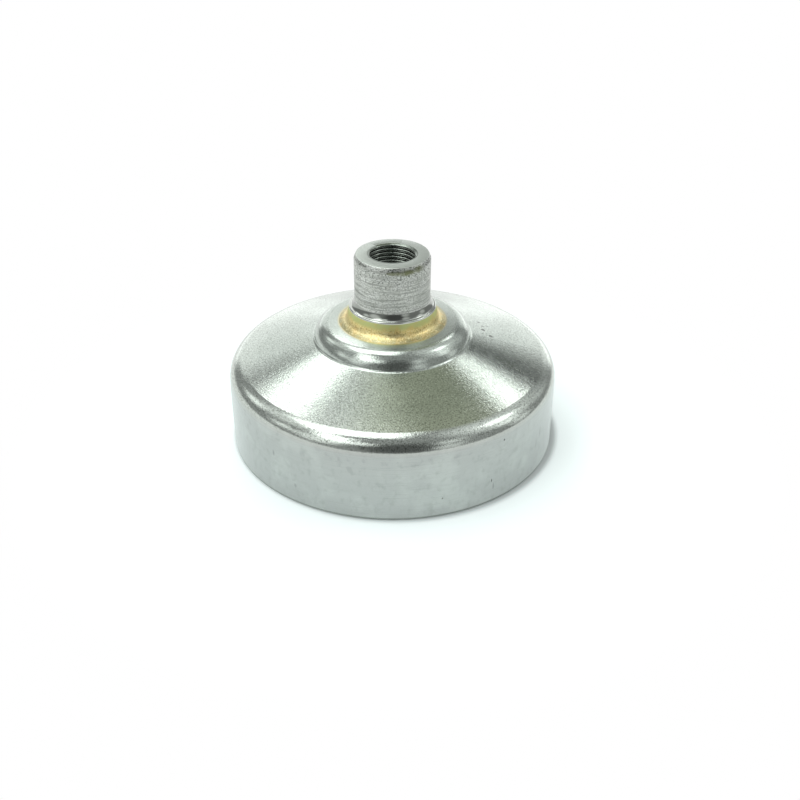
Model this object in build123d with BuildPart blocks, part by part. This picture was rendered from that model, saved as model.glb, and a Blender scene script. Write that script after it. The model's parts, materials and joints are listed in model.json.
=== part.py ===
"""Brush cutter clutch drum: a drawn shell, a turned hub and the braze fillet that joins them.

Sizes are in millimetres. +Z runs along the drum's axis, from the open rim at z = 0 up to the hub.
"""
import os
from math import radians, sqrt, tan

from build123d import *

# Drum shell: one thickness of sheet, drawn to shape
bore_diameter = 78.0  # friction surface for the clutch shoes
sheet = 2.0
skirt_height = 17.2  # straight wall, from the rim to the shoulder
shoulder_round = 4.7  # this and the other rounds are on the outside of the sheet
cone_angle = 16.0  # slope of the web between shoulder and dome, in degrees
dome_diameter = 39.2  # across its foot
dome_height = 3.95
dome_knee = 1.7  # height of the steep part of its wall
dome_wall_angle = 74.0  # slope of the steep part, in degrees
dome_crown_angle = 50.0  # slope from there up to the flat top
dome_round = 2.7
dome_knee_round = 5.0
dome_foot_round = 0.8
rim_break = 0.3

# Threaded hub: turned bar, tapped right through for a fine M12 thread
thread_diameter = 12.0
thread_pitch = 1.0
countersink = 0.2  # at 45 degrees, at each end of the thread
hub_wall = 3.3  # outside of the thread to the outside of the hub
hub_height = 48.4  # top face above the rim of the drum
hub_bevel = 1.05  # along the axis
hub_bevel_in = 0.45  # towards the axis
neck_round = 4.0  # concave turned foot of the hub
collar_width = 1.45  # collar beyond the hub
collar_height = 4.35  # top of the collar above the dome
collar_shelf = 0.45  # flat ring on its top, outside the neck
collar_break = 0.2
collar_land = 0.2  # part of the collar's side that stands clear of the braze
spigot_wall = 2.0  # outside of the thread to the outside of the spigot
spigot_stand = 0.5  # how far the spigot comes through the sheet
spigot_break = 0.4

# Braze fillet in the corner between collar and dome
braze_gap = 0.05  # left around the spigot for the filler
braze_width = 2.6
braze_hollow = 0.4  # depth of the concave face below its chord
braze_edge = 0.15  # blunt edge where the filler runs out

# Sizes that follow
skirt_radius = bore_diameter / 2 + sheet
shoulder_corner = skirt_height + shoulder_round * tan(radians(90 - cone_angle) / 2)
dome_radius = dome_diameter / 2
dome_foot = shoulder_corner + (skirt_radius - dome_radius) * tan(radians(cone_angle))
dome_top = dome_foot + dome_height
knee_radius = dome_radius - dome_knee / tan(radians(dome_wall_angle))
crown_radius = knee_radius - (dome_height - dome_knee) / tan(radians(dome_crown_angle))

thread_depth = 5 / 8 * sqrt(3) / 2 * thread_pitch  # of the metric thread form
minor_radius = thread_diameter / 2 - thread_depth
mouth_radius = minor_radius + countersink
hub_radius = thread_diameter / 2 + hub_wall
collar_radius = hub_radius + collar_width
collar_top = dome_top + collar_height
neck_width = collar_width - collar_break - collar_shelf
neck_drop = sqrt(2 * neck_round * neck_width - neck_width**2)
spigot_radius = thread_diameter / 2 + spigot_wall
spigot_end = dome_top - sheet - spigot_stand
hole_radius = spigot_radius + braze_gap

braze_radius = collar_radius + braze_width
braze_top = collar_top - collar_break - collar_land

with BuildPart() as drum_shell:
    with BuildSketch(Plane.XZ):
        with BuildLine():
            FilletPolyline(
                (skirt_radius, 0),
                (skirt_radius, shoulder_corner),
                (dome_radius, dome_foot),
                (knee_radius, dome_foot + dome_knee),
                (crown_radius, dome_top),
                (hole_radius, dome_top),
                radius=(shoulder_round, dome_foot_round, dome_knee_round, dome_round),
            )
            offset(amount=sheet, side=Side.LEFT)
        make_face()
    revolve(axis=Axis.Z)
    chamfer(drum_shell.edges().group_by(Axis.Z)[0], rim_break)

with BuildPart() as threaded_hub:
    with BuildSketch(Plane.XZ):
        with BuildLine():
            neck_top = (hub_radius, collar_top + neck_drop)
            neck_foot = (hub_radius + neck_width, collar_top)
            TangentArc(neck_top, neck_foot, tangent=(0, -1))
            Polyline(
                neck_foot,
                (collar_radius - collar_break, collar_top),
                (collar_radius, collar_top - collar_break),
                (collar_radius, dome_top),
                (spigot_radius, dome_top),
                (spigot_radius, spigot_end + spigot_break),
                (spigot_radius - spigot_break, spigot_end),
                (mouth_radius, spigot_end),
                (minor_radius, spigot_end + countersink),
                (minor_radius, hub_height - countersink),
                (mouth_radius, hub_height),
                (hub_radius - hub_bevel_in, hub_height),
                (hub_radius, hub_height - hub_bevel),
                neck_top,
            )
        make_face()
    revolve(axis=Axis.Z)

with BuildPart() as braze_fillet:
    with BuildSketch(Plane.XZ):
        with BuildLine():
            braze_crest = (collar_radius + braze_edge, braze_top)
            braze_toe = (braze_radius, dome_top + braze_edge)
            SagittaArc(braze_toe, braze_crest, braze_hollow)
            Polyline(
                braze_toe,
                (braze_radius, dome_top),
                (collar_radius, dome_top),
                (collar_radius, braze_top),
                braze_crest,
            )
        make_face()
    revolve(axis=Axis.Z)

os.makedirs("parts", exist_ok=True)
drum_shell.part.label = "drum_shell"
threaded_hub.part.label = "threaded_hub"
braze_fillet.part.label = "braze_fillet"
export_step(drum_shell.part, "parts/drum_shell.step")
export_step(threaded_hub.part, "parts/threaded_hub.step")
export_step(braze_fillet.part, "parts/braze_fillet.step")
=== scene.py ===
"""Looks of the brush cutter clutch drum: cut thread, braze bead, metal finishes, studio and camera.

Sizes are in metres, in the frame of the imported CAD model.
"""
import json
import math

import bmesh
import bpy
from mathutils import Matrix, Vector


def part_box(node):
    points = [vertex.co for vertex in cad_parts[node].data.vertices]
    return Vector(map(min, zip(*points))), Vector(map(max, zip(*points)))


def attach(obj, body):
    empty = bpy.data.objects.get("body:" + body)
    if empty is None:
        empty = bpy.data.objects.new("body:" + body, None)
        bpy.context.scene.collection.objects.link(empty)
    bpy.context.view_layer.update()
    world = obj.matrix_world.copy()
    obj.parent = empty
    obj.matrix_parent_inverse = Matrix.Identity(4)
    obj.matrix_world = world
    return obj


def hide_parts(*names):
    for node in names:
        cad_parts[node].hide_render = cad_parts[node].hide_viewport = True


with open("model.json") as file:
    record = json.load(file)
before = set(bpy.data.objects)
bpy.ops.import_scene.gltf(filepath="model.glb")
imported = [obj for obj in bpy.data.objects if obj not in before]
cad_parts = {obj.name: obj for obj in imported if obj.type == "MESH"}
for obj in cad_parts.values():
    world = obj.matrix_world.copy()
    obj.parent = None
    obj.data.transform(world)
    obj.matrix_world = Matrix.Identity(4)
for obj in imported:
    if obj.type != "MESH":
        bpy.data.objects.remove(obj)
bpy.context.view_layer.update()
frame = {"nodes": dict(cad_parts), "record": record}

MM = 0.001

# Places that follow from the CAD model
skirt_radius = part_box("drum_shell")[1].x
dome_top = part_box("drum_shell")[1].z
spigot_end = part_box("threaded_hub")[0].z
hub_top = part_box("threaded_hub")[1].z
collar_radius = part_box("threaded_hub")[1].x
braze_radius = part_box("braze_fillet")[1].x
braze_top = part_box("braze_fillet")[1].z
mounts = {mount["name"]: mount for mount in frame["record"]["mounts"]}
minor_radius = mounts["hub_thread"]["dims"]["r_mm"] * MM
thread_length = mounts["hub_thread"]["dims"]["length_mm"] * MM
bore_radius = mounts["friction_bore"]["dims"]["r_mm"] * MM
skirt_top = mounts["friction_bore"]["dims"]["length_mm"] * MM
countersink = (hub_top - spigot_end - thread_length) / 2
mouth_radius = minor_radius + countersink

# Thread: right-handed, with rounded crests and roots between flanks of about sixty degrees
pitch = 1.0 * MM
thread_depth = 5 / 8 * math.sqrt(3) / 2 * pitch
major_radius = minor_radius + thread_depth
thread_rows = 16  # to a turn
round_steps = 144

# Edges of the hub and of all meshes
edge_ease = 0.12 * MM  # cut back at each sharp corner of the hub's outline
smooth_turn = math.radians(20)  # a gentler turn of the outline is left as it is
sharp_turn = math.radians(40)  # a steeper turn between faces is shaded as an edge
weld_distance = 0.5e-6

# Braze bead
bead_steps = 192
bead_rows = 14
bead_corner = (0.25, 0.245)  # shares of the width and height where the steep face meets the thin apron
bead_rounding = 0.3  # share of each of the two that the rounded corner takes up
toe_wander = 0.22 * MM
crest_wander = 0.12 * MM

# Zones of the shell's finish, as radii
dome_radius = 19.6 * MM  # at the dome's foot
polish_from = 15.0 * MM  # the dome's top is dull inside this
polish_to = 17.0 * MM  # and its wall is polished from here
crown_from = 17.5 * MM  # edge of the slight crown on the dome's top
crown_to = 12.5 * MM
crown_height = 0.7 * MM
pale_from = 30.0 * MM  # the web gets paler from here
pale_to = 38.0 * MM

# Marks on the shell: degrees from the front to the right, then in millimetres the radius, height,
# half width and half length along Z, and last the depth of tone
shell_marks = [
    (38.7, 41.0, 16.2, 0.22, 0.26, 0.9),
    (34.2, 41.0, 6.1, 0.12, 0.50, 0.9),
    (35.0, 41.0, 4.3, 0.11, 0.90, 0.6),
    (16.2, 41.0, 5.0, 0.20, 0.25, 0.6),
    (60.0, 41.0, 11.0, 0.20, 1.60, 0.4),
    (57.5, 41.0, 8.5, 0.25, 1.30, 0.3),
    (-42.4, 41.0, 11.4, 0.35, 0.80, 0.25),
    (-33.4, 41.0, 4.9, 0.40, 0.60, 0.22),
    (109.8, 23.5, 25.8, 0.50, 0.40, 0.55),
    (104.2, 23.7, 25.7, 0.45, 0.40, 0.4),
    (99.0, 23.2, 25.8, 0.60, 0.40, 0.7),
    (92.1, 24.7, 25.4, 0.60, 0.45, 0.55),
    (105.1, 25.0, 25.3, 0.45, 0.40, 0.3),
]

# Oil at the lower edge of the hub's bevel, in the same order
oil_marks = [
    (4.0, 9.2, 47.15, 2.2, 0.55, 0.7),
    (22.0, 9.2, 47.10, 2.4, 0.75, 0.9),
    (42.0, 9.2, 47.30, 2.0, 0.80, 0.7),
]


# Meshes
def cad_outline(node):
    """Points (radius, height) of a turned CAD node, where it crosses the XZ plane on the +X side."""
    vertices = frame["nodes"][node].data.vertices
    on_plane = [v.co for v in vertices if abs(v.co.y) < weld_distance and v.co.x > 0]
    return {(round(p.x, 7), round(p.z, 7)) for p in on_plane}


foot_top = max(z for r, z in cad_outline("threaded_hub") if r > collar_radius - 0.25 * MM)


def eased(outline, ease):
    """The outline with each sharp corner cut back and rounded by a small arc."""
    points = [Vector(p) for p in outline]
    result = [points[0]]
    for before, corner, after in zip(points, points[1:], points[2:]):
        into = corner - before
        away = after - corner
        if into.angle(away) < smooth_turn:
            result.append(corner)
            continue
        start = corner - into.normalized() * min(ease, into.length / 3)
        end = corner + away.normalized() * min(ease, away.length / 3)
        middle = (start + 2 * corner + end) / 4
        result.extend([start, middle, end])
    result.append(points[-1])
    return result


def thread_radius(turn):
    """Radius of the thread at a place given in pitches from the middle of a groove."""
    return minor_radius + thread_depth * (1 + math.cos(math.tau * turn)) / 2


def bore_point(angle, turn):
    """Radius and height on the threaded bore, with its countersinks and both end faces."""
    height = spigot_end + (turn + angle / math.tau) * pitch
    if not spigot_end < height < hub_top:
        height = min(max(height, spigot_end), hub_top)
        turn = (height - spigot_end) / pitch - angle / math.tau
    from_end = min(height - spigot_end, hub_top - height)
    return max(thread_radius(turn), mouth_radius - from_end), height


def mesh_object(name, rings):
    """Mesh from rings of (angle, radius, height), each joined to the next and the last to the first."""
    mesh = bmesh.new()
    grid = []
    for ring in rings:
        row = []
        for angle, radius, height in ring:
            row.append(mesh.verts.new((radius * math.cos(angle), radius * math.sin(angle), height)))
        grid.append(row)
    for lower, upper in zip(grid, grid[1:] + grid[:1]):
        for i in range(len(lower) - 1):
            mesh.faces.new((lower[i], lower[i + 1], upper[i + 1], upper[i]))
    bmesh.ops.remove_doubles(mesh, verts=mesh.verts, dist=weld_distance)
    bmesh.ops.dissolve_degenerate(mesh, edges=mesh.edges, dist=weld_distance)
    bmesh.ops.recalc_face_normals(mesh, faces=mesh.faces)
    data = bpy.data.meshes.new(name)
    mesh.to_mesh(data)
    mesh.free()
    data.shade_smooth()
    data.set_sharp_from_angle(angle=sharp_turn)
    made = bpy.data.objects.new(name, data)
    bpy.context.scene.collection.objects.link(made)
    return made


def round_angles(steps):
    """Angles of one full turn, with the first direction repeated at the end."""
    return [math.tau * i / steps for i in range(steps + 1)]


def make_hub():
    """Hub with the CAD node's outside and a true helical thread inside."""
    middle = Vector(((minor_radius + collar_radius) / 2, (dome_top + braze_top) / 2))
    outside = [p for p in cad_outline("threaded_hub") if p[0] > mouth_radius + weld_distance]
    outside.sort(key=lambda p: math.atan2(p[0] - middle.x, middle.y - p[1]))
    outside = [(mouth_radius, spigot_end)] + outside + [(mouth_radius, hub_top)]
    outline = eased(outside, edge_ease)[1:-1]
    angles = round_angles(round_steps)
    turns = math.ceil((hub_top - spigot_end) / pitch) + 1
    rings = []
    for row in range(-thread_rows, turns * thread_rows):
        rings.append([(angle, *bore_point(angle, row / thread_rows)) for angle in angles])
    for radius, height in reversed(outline):
        rings.append([(angle, radius, height) for angle in angles])
    hub = mesh_object("hub_threaded", rings)
    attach(hub, "root")
    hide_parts("threaded_hub")
    return hub


def wander(angle, start):
    """Slow uneven wave round the ring, from 0 to 1."""
    total = sum(math.sin(count * angle + start * count * count) / count for count in (2, 3, 5, 8, 13))
    return 0.5 + total / 4


def bead_outline(angle):
    """Points (radius, height) down the bead's face at an angle, from its crest to its toe."""
    crest = Vector((collar_radius, braze_top - crest_wander * wander(angle, 1.0)))
    toe = Vector((braze_radius - toe_wander * wander(angle, 2.0), dome_top))
    width = toe.x - crest.x
    height = crest.y - toe.y
    corner = Vector((crest.x + width * bead_corner[0], toe.y + height * bead_corner[1]))
    start = corner.lerp(crest, bead_rounding)
    end = corner.lerp(toe, bead_rounding)
    shares = [row / bead_rows for row in range(bead_rows + 1)]
    rounded = [start.lerp(corner, share).lerp(corner.lerp(end, share), share) for share in shares]
    return [crest] + rounded + [toe]


def make_bead():
    """Braze bead: hollow ring with the uneven edges of metal that ran while it was hot."""
    angles = round_angles(bead_steps)
    outlines = [bead_outline(angle) for angle in angles]
    rings = [[(angle, collar_radius, dome_top) for angle in angles]]
    for row in zip(*outlines):
        rings.append([(angle, point.x, point.y) for angle, point in zip(angles, row)])
    bead = mesh_object("braze_bead", rings)
    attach(bead, "root")
    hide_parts("braze_fillet")
    return bead


# Node helpers
def add(tree, kind, inputs=None, **settings):
    """Adds a node. Its inputs take values or the outputs of other nodes, by name or number."""
    made = tree.nodes.new(kind)
    for name, value in settings.items():
        setattr(made, name, value)
    for key, value in (inputs or {}).items():
        if isinstance(value, bpy.types.NodeSocket):
            tree.links.new(value, made.inputs[key])
        else:
            made.inputs[key].default_value = value
    return made


def calc(tree, operation, first, second=0.0):
    """Output of a Math node."""
    return add(tree, "ShaderNodeMath", {0: first, 1: second}, operation=operation).outputs[0]


def times(tree, first, second):
    """Product of two numbers."""
    return calc(tree, "MULTIPLY", first, second)


def one_less(tree, value):
    """One less the value."""
    return calc(tree, "SUBTRACT", 1.0, value)


def ramp(tree, value, start, end, low=0.0, high=1.0):
    """Smooth change from low at start to high at end."""
    inputs = {"Value": value, "From Min": start, "From Max": end, "To Min": low, "To Max": high}
    return add(tree, "ShaderNodeMapRange", inputs, interpolation_type="SMOOTHSTEP").outputs[0]


def blend(tree, factor, first, second):
    """Colour between first and second."""
    return add(tree, "ShaderNodeMix", {0: factor, 6: first, 7: second}, data_type="RGBA").outputs[2]


def between(tree, factor, first, second):
    """Number between first and second."""
    return add(tree, "ShaderNodeMix", {0: factor, 2: first, 3: second}).outputs[0]


def noise(tree, vector, size, detail=2.0):
    """Noise from 0 to 1 whose features have the given size along each axis."""
    spread = add(tree, "ShaderNodeVectorMath", {0: vector, 1: [1 / s for s in size]}, operation="MULTIPLY")
    inputs = {"Vector": spread.outputs[0], "Scale": 1.0, "Detail": detail}
    return add(tree, "ShaderNodeTexNoise", inputs).outputs[0]


def bump(tree, height, depth, normal=None):
    """Bumped normal for a height from 0 to 1, with the depth of full height."""
    inputs = {"Height": height, "Distance": depth}
    if normal is not None:
        inputs["Normal"] = normal
    return add(tree, "ShaderNodeBump", inputs).outputs[0]


def place(tree):
    """Point, radius and height of the shaded place, in the frame's own coordinates."""
    point = add(tree, "ShaderNodeTexCoord").outputs["Object"]
    x, y, height = add(tree, "ShaderNodeSeparateXYZ", {0: point}).outputs
    square = calc(tree, "ADD", times(tree, x, x), times(tree, y, y))
    return point, calc(tree, "SQRT", square), height


def lathe_marks(tree, point, radius, height, width, length):
    """Noise drawn out round the axis, as a cutting tool leaves it on sides and faces alike."""
    across = calc(tree, "SUBTRACT", height, radius)
    x, y, _ = add(tree, "ShaderNodeSeparateXYZ", {0: point}).outputs
    vector = add(tree, "ShaderNodeCombineXYZ", {0: x, 1: y, 2: across}).outputs[0]
    return noise(tree, vector, (length, length, width), 3.0)


def marks(tree, point, places):
    """Strongest of several soft-edged marks, from 0 to their tone."""
    strongest = 0.0
    for azimuth, radius, height, width, length, tone in places:
        a = math.radians(azimuth)
        centre = (radius * MM * math.sin(a), -radius * MM * math.cos(a), height * MM)
        offset = add(tree, "ShaderNodeVectorMath", {0: point, 1: centre}, operation="SUBTRACT").outputs[0]
        scale = [1 / (width * MM), 1 / (width * MM), 1 / (length * MM)]
        scaled = add(tree, "ShaderNodeVectorMath", {0: offset, 1: scale}, operation="MULTIPLY").outputs[0]
        away = add(tree, "ShaderNodeVectorMath", {0: scaled}, operation="LENGTH").outputs["Value"]
        strongest = calc(tree, "MAXIMUM", ramp(tree, away, 1.3, 0.5, 0.0, tone), strongest)
    return strongest


def new_material(name):
    """Metal material with its node tree and shader."""
    material = bpy.data.materials.new(name)
    material.use_nodes = True
    shader = material.node_tree.nodes["Principled BSDF"]
    shader.inputs["Metallic"].default_value = 1.0
    return material, material.node_tree, shader


def connect(tree, shader, colour, roughness, normal):
    """Links a finished set of outputs to the shader."""
    tree.links.new(colour, shader.inputs["Base Color"])
    tree.links.new(roughness, shader.inputs["Roughness"])
    tree.links.new(normal, shader.inputs["Normal"])


# Finishes
steel_light = (0.535, 0.60, 0.55, 1.0)
steel_dull = (0.49, 0.55, 0.50, 1.0)
steel_dark = (0.17, 0.19, 0.165, 1.0)
steel_skirt = (0.435, 0.45, 0.437, 1.0)
steel_bar = (0.77, 0.81, 0.77, 1.0)
steel_bar_dull = (0.67, 0.71, 0.66, 1.0)
steel_face = (0.49, 0.54, 0.495, 1.0)
sparkle = (0.80, 0.86, 0.80, 1.0)
straw = (0.64, 0.60, 0.38, 1.0)
oil = (0.145, 0.165, 0.055, 1.0)
# Painted shade: a much darker colour for the thread inside the bore.
thread_shade_colour = (0.25, 0.285, 0.25, 1.0)
mark_black = (0.05, 0.05, 0.045, 1.0)
braze_orange = (0.84, 0.59, 0.21, 1.0)
braze_pit = (0.36, 0.26, 0.085, 1.0)
# Pale flecks of the braze grain, partly painted glints.
braze_glint_fleck = (1.0, 0.94, 0.58, 1.0)

# Bands of the braze: share of the way out from the collar, colour. Partly real tint and partly painted
# light: the bright band partway out is a painted highlight and the darker bands toward the toe are painted
# shade.
braze_tint_and_shade = [
    (0.0, (0.64, 0.70, 0.31, 1.0)),
    (0.12, (0.67, 0.70, 0.30, 1.0)),
    (0.28, (0.98, 0.84, 0.36, 1.0)),
    (0.68, (0.78, 0.70, 0.37, 1.0)),
    (0.85, (0.48, 0.455, 0.245, 1.0)),
    (1.0, (0.38, 0.37, 0.22, 1.0)),
]


def shell_zones(tree, radius, height):
    """Shares, from 0 to 1, of the shell's skirt, dome, web and ground bore."""
    on_skirt = ramp(tree, height, skirt_top + 2.5 * MM, skirt_top)
    on_dome = ramp(tree, radius, dome_radius + 1.0 * MM, dome_radius)
    above_skirt = ramp(tree, height, skirt_top + 0.8 * MM, skirt_top + 2.6 * MM)
    on_web = times(tree, above_skirt, one_less(tree, on_dome))
    inside = times(tree, on_skirt, ramp(tree, radius, bore_radius + 1.0 * MM, bore_radius + 0.6 * MM))
    return on_skirt, on_dome, on_web, inside


def drawn_steel():
    """Shell: grainy web whose pale flecks are partly painted glints, smoother dome, mottled skirt, ground
    inside, heat tint by the braze, painted shade along the bottom edge.
    """
    material, tree, shader = new_material("drawn_steel")
    point, radius, height = place(tree)
    on_skirt, on_dome, on_web, inside = shell_zones(tree, radius, height)
    grain = noise(tree, point, (0.30 * MM,) * 3, 3.0)
    streaks = noise(tree, point, (1.4 * MM, 1.4 * MM, 1.8 * MM), 5.0)
    blotches = noise(tree, point, (7.0 * MM,) * 3, 4.0)
    lines = lathe_marks(tree, point, radius, height, 0.12 * MM, 9.0 * MM)
    flaws = marks(tree, point, shell_marks)
    colour = blend(tree, ramp(tree, blotches, 0.35, 0.7), steel_dull, steel_light)
    colour = blend(tree, ramp(tree, radius, pale_from, pale_to, 0.0, 0.25), colour, sparkle)
    colour = blend(tree, on_skirt, colour, steel_skirt)
    grainy = calc(tree, "MAXIMUM", on_web, times(tree, on_dome, 0.6))
    pits = times(tree, ramp(tree, grain, 0.5, 0.3, 0.0, 0.75), grainy)
    # Pale flecks of the grain: partly grain tone, partly painted glints standing in for the sparkle of the
    # bumped grain.
    glint_flecks = times(tree, ramp(tree, grain, 0.56, 0.74, 0.0, 0.8), grainy)
    colour = blend(tree, pits, colour, steel_dark)
    colour = blend(tree, glint_flecks, colour, sparkle)
    stains = times(tree, ramp(tree, streaks, 0.5, 0.72, 0.0, 0.17), on_skirt)
    colour = blend(tree, stains, colour, steel_dark)
    clouds = times(tree, ramp(tree, blotches, 0.45, 0.7, 0.0, 0.14), on_skirt)
    colour = blend(tree, clouds, colour, sparkle)
    scuffs = times(tree, ramp(tree, lines, 0.54, 0.7, 0.0, 0.16), on_skirt)
    colour = blend(tree, scuffs, colour, steel_dark)
    outside = ramp(tree, height, dome_top - 0.4 * MM, dome_top - 0.1 * MM)
    near_braze = ramp(tree, radius, braze_radius + 0.5 * MM, braze_radius - 0.2 * MM)
    tint = times(tree, outside, near_braze)
    colour = blend(tree, tint, colour, straw)
    colour = blend(tree, flaws, colour, mark_black)
    # Painted shade: darker towards the very bottom edge, standing in for the contact shadow along the rim.
    colour = blend(tree, ramp(tree, height, 0.7 * MM, 0.3 * MM, 0.0, 0.8), colour, steel_dark)
    roughness = ramp(tree, grain, 0.3, 0.7, 0.08, 0.14)
    roughness = between(tree, on_skirt, roughness, ramp(tree, blotches, 0.3, 0.7, 0.17, 0.24))
    roughness = between(tree, on_dome, roughness, ramp(tree, radius, polish_from, polish_to, 0.3, 0.17))
    roughness = between(tree, inside, roughness, ramp(tree, lines, 0.3, 0.7, 0.22, 0.4))
    normal = bump(tree, ramp(tree, radius, crown_from, crown_to), crown_height)
    normal = bump(tree, times(tree, grain, on_web), 28e-6, normal)
    normal = bump(tree, times(tree, streaks, on_skirt), 6e-6, normal)
    normal = bump(tree, times(tree, grain, on_dome), 20e-6, normal)
    normal = bump(tree, times(tree, lines, inside), 8e-6, normal)
    normal = bump(tree, one_less(tree, flaws), 40e-6, normal)
    connect(tree, shader, colour, roughness, normal)
    return material


def turned_steel():
    """Hub: dull turned side with pits and an oil stain, pale face, bright hollow foot with painted shade,
    thread darkened with painted shade.
    """
    material, tree, shader = new_material("turned_steel")
    point, radius, height = place(tree)
    on_foot = ramp(tree, height, foot_top + 1.9 * MM, foot_top + 1.3 * MM)
    on_face = ramp(tree, height, hub_top - 0.12 * MM, hub_top - 0.02 * MM)
    in_bore = ramp(tree, radius, major_radius + 0.25 * MM, major_radius + 0.05 * MM)
    upper = ramp(tree, height, hub_top - 7.4 * MM, hub_top - 1.9 * MM)
    lines = lathe_marks(tree, point, radius, height, 0.2 * MM, 8.0 * MM)
    grain = noise(tree, point, (0.32 * MM,) * 3, 2.0)
    blotches = noise(tree, point, (2.6 * MM,) * 3, 4.0)
    colour = blend(tree, ramp(tree, blotches, 0.35, 0.7), steel_bar_dull, steel_bar)
    pitted = times(tree, ramp(tree, grain, 0.54, 0.38), between(tree, upper, 0.65, 0.95))
    scored = times(tree, ramp(tree, lines, 0.52, 0.36), between(tree, upper, 0.85, 0.45))
    worn = calc(tree, "MAXIMUM", pitted, scored)
    plain = one_less(tree, calc(tree, "MAXIMUM", on_foot, on_face))
    colour = blend(tree, times(tree, worn, plain), colour, steel_dark)
    colour = blend(tree, on_face, colour, steel_face)
    broken = ramp(tree, blotches, 0.25, 0.65, 0.3, 1.0)
    stain = times(tree, marks(tree, point, oil_marks), broken)
    colour = blend(tree, stain, colour, oil)
    # Painted shade: the bore's thread gets the darker colour.
    colour = blend(tree, in_bore, colour, thread_shade_colour)
    # Painted shade: the hollow foot above the shelf is darkened in colour to stand in for its dark
    # reflections.
    above_shelf = ramp(tree, height, foot_top + 0.02 * MM, foot_top + 0.3 * MM, 0.3, 0.7)
    painted_hollow_shade = times(tree, on_foot, above_shelf)
    colour = blend(tree, painted_hollow_shade, colour, steel_dark)
    roughness = between(tree, on_foot, ramp(tree, grain, 0.3, 0.7, 0.3, 0.46), 0.10)
    roughness = between(tree, on_face, roughness, ramp(tree, lines, 0.3, 0.7, 0.32, 0.44))
    roughness = between(tree, in_bore, roughness, 0.15)
    normal = bump(tree, times(tree, grain, plain), 45e-6)
    normal = bump(tree, times(tree, lines, one_less(tree, on_foot)), 14e-6, normal)
    connect(tree, shader, colour, roughness, normal)
    shader.inputs["Anisotropic"].default_value = 0.4
    around = add(tree, "ShaderNodeTangent", direction_type="RADIAL", axis="Z")
    tree.links.new(around.outputs[0], shader.inputs["Tangent"])
    return material


def braze_metal():
    """Braze: grainy yellow filler with pale flecks that are partly painted glints, khaki and smooth by the
    collar, paler and darker where it thins out; its bands are partly painted highlight and shade.
    """
    material, tree, shader = new_material("braze_metal")
    point, radius, height = place(tree)
    across = ramp(tree, radius, collar_radius, braze_radius, 0.0, 0.5)
    out = calc(tree, "ADD", across, ramp(tree, height, braze_top, dome_top, 0.0, 0.5))
    # The band colours are partly painted highlight and shade along the bead.
    bands = add(tree, "ShaderNodeValToRGB", {0: out})
    stops = bands.color_ramp.elements
    stops[0].color = braze_tint_and_shade[0][1]
    stops[1].color = braze_tint_and_shade[-1][1]
    for share, band in braze_tint_and_shade[1:-1]:
        stops.new(share).color = band
    grain = noise(tree, point, (0.34 * MM,) * 3, 2.0)
    patches = noise(tree, point, (2.2 * MM,) * 3, 3.0)
    grainy = ramp(tree, out, 0.08, 0.3)
    colour = blend(tree, ramp(tree, patches, 0.4, 0.75, 0.0, 0.5), bands.outputs[0], braze_orange)
    pits = times(tree, ramp(tree, grain, 0.5, 0.3, 0.0, 0.65), grainy)
    colour = blend(tree, pits, colour, braze_pit)
    # Pale flecks of the grain: partly grain tone, partly painted glints of the bumped braze.
    glint_flecks = times(tree, ramp(tree, grain, 0.54, 0.7, 0.0, 0.8), grainy)
    colour = blend(tree, glint_flecks, colour, braze_glint_fleck)
    roughness = between(tree, grainy, 0.5, ramp(tree, grain, 0.3, 0.7, 0.28, 0.42))
    normal = bump(tree, times(tree, grain, grainy), 60e-6)
    connect(tree, shader, colour, roughness, normal)
    return material


def dress(piece, material):
    """Gives a piece its one material."""
    piece.data.materials.clear()
    piece.data.materials.append(material)


# Studio
# Soft boxes: name, azimuth, elevation, width and height in metres, radiance
soft_boxes = [
    ("overhead", -84, 76, 0.32, 0.41, 2.0),
    ("front_left", -133, 47, 0.20, 0.22, 1.9),
    ("right", 90, 44, 0.16, 0.16, 2.0),
    ("back_left", -25, 48, 0.19, 0.15, 2.8),
    ("back_right", 35, 44.2, 0.11, 0.06, 3.5),
]
lamp_distance = 0.6

# Soft panels of the room, later ones over earlier ones: azimuth, elevation, angle of the core,
# angle of the edge, radiance
room_white = (1.0, 1.0, 1.0, 1.0)
room_olive = (0.93, 0.96, 0.76, 1.0)
room_level = 0.36
room_panels = [
    (84, 46, 14, 36, 0.85),
    (174, 19, 13, 35, 0.12),
    (-78, 56, 10, 30, 0.95),
    (-128, 20, 6, 20, 1.1),
    (-64, 28, 3, 12, 1.5),
    (-101, 20, 4, 11, 1.2),
    (95, 24, 4, 12, 1.4),
    (60, 18, 4, 12, 0.62),
    (-140, 34, 4, 12, 1.9),
    (88, 4, 3, 12, 1.0),
    (140, 29, 3, 13, 0.85),
    (143, 6, 4, 14, 0.8),
    (-20, 33, 3, 12, 1.2),
    (52, 42, 5, 15, 0.7),
    (9, 62, 8, 22, 0.44),
    (-17, 61, 3, 12, 0.85),
    (-156, 38, 4, 10, 1.6),
    (-12, 28, 4, 14, 1.15),
    (29, 29.5, 3, 11, 0.2),
    (-28, 25, 3, 8, 1.1),
    (-30, 34.5, 2, 7.5, 0.3),
]


# White table
table_reach = 1.5  # to the back and to the left
table_front = -0.17  # dark room shows in reflections beyond this edge
table_right = 0.14  # and beyond this one
table_drop = 0.02 * MM
table_colour = (0.75, 0.82, 0.81, 1.0)
table_glow = (0.91, 1.0, 0.99, 1.0)
table_lift = 0.43  # strength of the glow that takes the lit table to white
shadow_shift = 0.9 * MM  # the contact shadow lies a little to the right
shadow_from = skirt_radius + 1.8 * MM
shadow_to = skirt_radius - 0.3 * MM
white_from = 0.045  # radii between which the table turns plain white
white_to = 0.1


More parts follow.
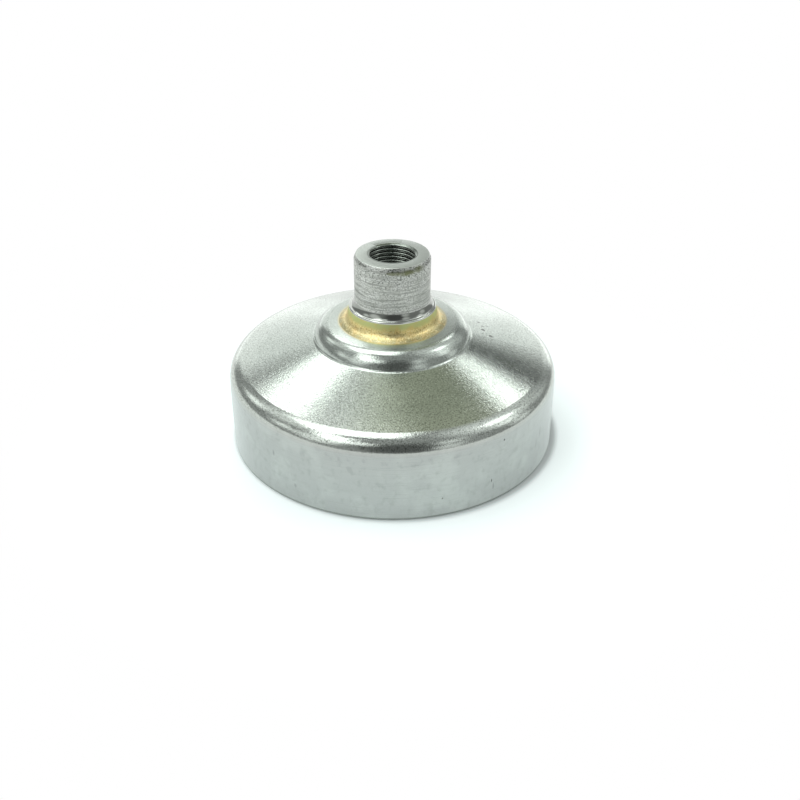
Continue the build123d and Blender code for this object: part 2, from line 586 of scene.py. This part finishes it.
def toward(azimuth, elevation):
    """Direction from the object. Azimuth 0 is straight behind it and 90 is to its right, in degrees."""
    a = math.radians(azimuth)
    e = math.radians(elevation)
    return Vector((math.sin(a) * math.cos(e), math.cos(a) * math.cos(e), math.sin(e)))


def softbox(name, azimuth, elevation, width, height, radiance):
    """Area lamp that faces the object. Radiance 1 looks white."""
    lamp = bpy.data.lights.new(name, "AREA")
    lamp.shape = "RECTANGLE"
    lamp.size = width
    lamp.size_y = height
    lamp.energy = radiance * math.pi * width * height
    made = bpy.data.objects.new(name, lamp)
    direction = toward(azimuth, elevation)
    made.location = direction * lamp_distance
    made.rotation_euler = (-direction).to_track_quat("-Z", "Y").to_euler()
    bpy.context.scene.collection.objects.link(made)


def panel(tree, direction, azimuth, elevation, core, edge):
    """Soft round panel of the room: 1 within the core angle and 0 beyond the edge angle, in degrees."""
    middle = toward(azimuth, elevation)
    near = add(tree, "ShaderNodeVectorMath", {0: direction, 1: middle}, operation="DOT_PRODUCT")
    return ramp(tree, near.outputs["Value"], math.cos(math.radians(edge)), math.cos(math.radians(core)))


def make_world():
    """Grey room with soft panels, bright low behind the object and plain white where it is seen."""
    world = bpy.data.worlds.new("studio")
    world.use_nodes = True
    tree = world.node_tree
    direction = add(tree, "ShaderNodeTexCoord").outputs["Generated"]
    _, back, up = add(tree, "ShaderNodeSeparateXYZ", {0: direction}).outputs
    level = room_level
    for azimuth, elevation, core, edge, radiance in room_panels:
        level = between(tree, panel(tree, direction, azimuth, elevation, core, edge), level, radiance)
    low_back = times(tree, ramp(tree, back, 0.775, 0.84), ramp(tree, up, 0.44, 0.32))
    level = between(tree, low_back, level, ramp(tree, up, 0.15, 0.0, 1.20, 1.85))
    seen = add(tree, "ShaderNodeLightPath").outputs["Is Camera Ray"]
    level = between(tree, seen, level, 1.0)
    olive = times(tree, panel(tree, direction, 16, 58, 6, 20), one_less(tree, seen))
    colour = blend(tree, olive, room_white, room_olive)
    tree.links.new(level, tree.nodes["Background"].inputs["Strength"])
    tree.links.new(colour, tree.nodes["Background"].inputs["Color"])
    bpy.context.scene.world = world


def make_floor():
    """Table that the object stands on, with edges at the front and the right."""
    corners = [
        (-table_reach, table_front, 0.0),
        (table_right, table_front, 0.0),
        (table_right, table_reach, 0.0),
        (-table_reach, table_reach, 0.0),
    ]
    data = bpy.data.meshes.new("table")
    data.from_pydata(corners, [], [(0, 1, 2, 3)])
    floor = bpy.data.objects.new("table", data)
    floor.location = (shadow_shift, 0.0, -table_drop)
    bpy.context.scene.collection.objects.link(floor)
    dress(floor, white_table())


def white_table():
    """White surface that shows the contact shadow to the camera and is lifted to white elsewhere."""
    material = bpy.data.materials.new("white_table")
    material.use_nodes = True
    tree = material.node_tree
    tree.nodes.remove(tree.nodes["Principled BSDF"])
    _, radius, _ = place(tree)
    rays = add(tree, "ShaderNodeLightPath").outputs
    seen = calc(tree, "MAXIMUM", rays["Is Camera Ray"], rays["Is Glossy Ray"])
    seen = calc(tree, "MAXIMUM", seen, rays["Is Transmission Ray"])
    lit = add(tree, "ShaderNodeBsdfDiffuse", {"Color": table_colour}).outputs[0]
    close = ramp(tree, radius, shadow_from, shadow_to)
    lifted = calc(tree, "SUBTRACT", seen, times(tree, close, rays["Is Camera Ray"]))
    glow = {"Color": table_glow, "Strength": times(tree, lifted, table_lift)}
    lift = add(tree, "ShaderNodeEmission", glow).outputs[0]
    near = add(tree, "ShaderNodeAddShader", {0: lit, 1: lift}).outputs[0]
    white = add(tree, "ShaderNodeEmission", {"Strength": 1.0}).outputs[0]
    far = times(tree, seen, ramp(tree, radius, white_from, white_to))
    surface = add(tree, "ShaderNodeMixShader", {0: far, 1: near, 2: white}).outputs[0]
    tree.links.new(surface, tree.nodes["Material Output"].inputs["Surface"])
    return material


def make_camera():
    """Camera at the photograph's place, from a fit to the outline."""
    aim = Vector((0.0, 0.0, 7.27 * MM))
    distance = 268.48 * MM
    elevation = 31.43
    data = bpy.data.cameras.new("camera")
    data.sensor_width = 36.0
    data.lens = 46.51
    data.shift_x = 7.6 / 800
    data.clip_start = 0.01
    camera = bpy.data.objects.new("camera", data)
    direction = toward(180, elevation)
    camera.location = aim + direction * distance
    camera.rotation_euler = (-direction).to_track_quat("-Z", "Y").to_euler()
    bpy.context.scene.collection.objects.link(camera)
    bpy.context.scene.camera = camera


dress(frame["nodes"]["drum_shell"], drawn_steel())
dress(make_hub(), turned_steel())
dress(make_bead(), braze_metal())
for row in soft_boxes:
    softbox(*row)
make_world()
make_floor()
make_camera()
bpy.context.scene.view_settings.view_transform = "Standard"
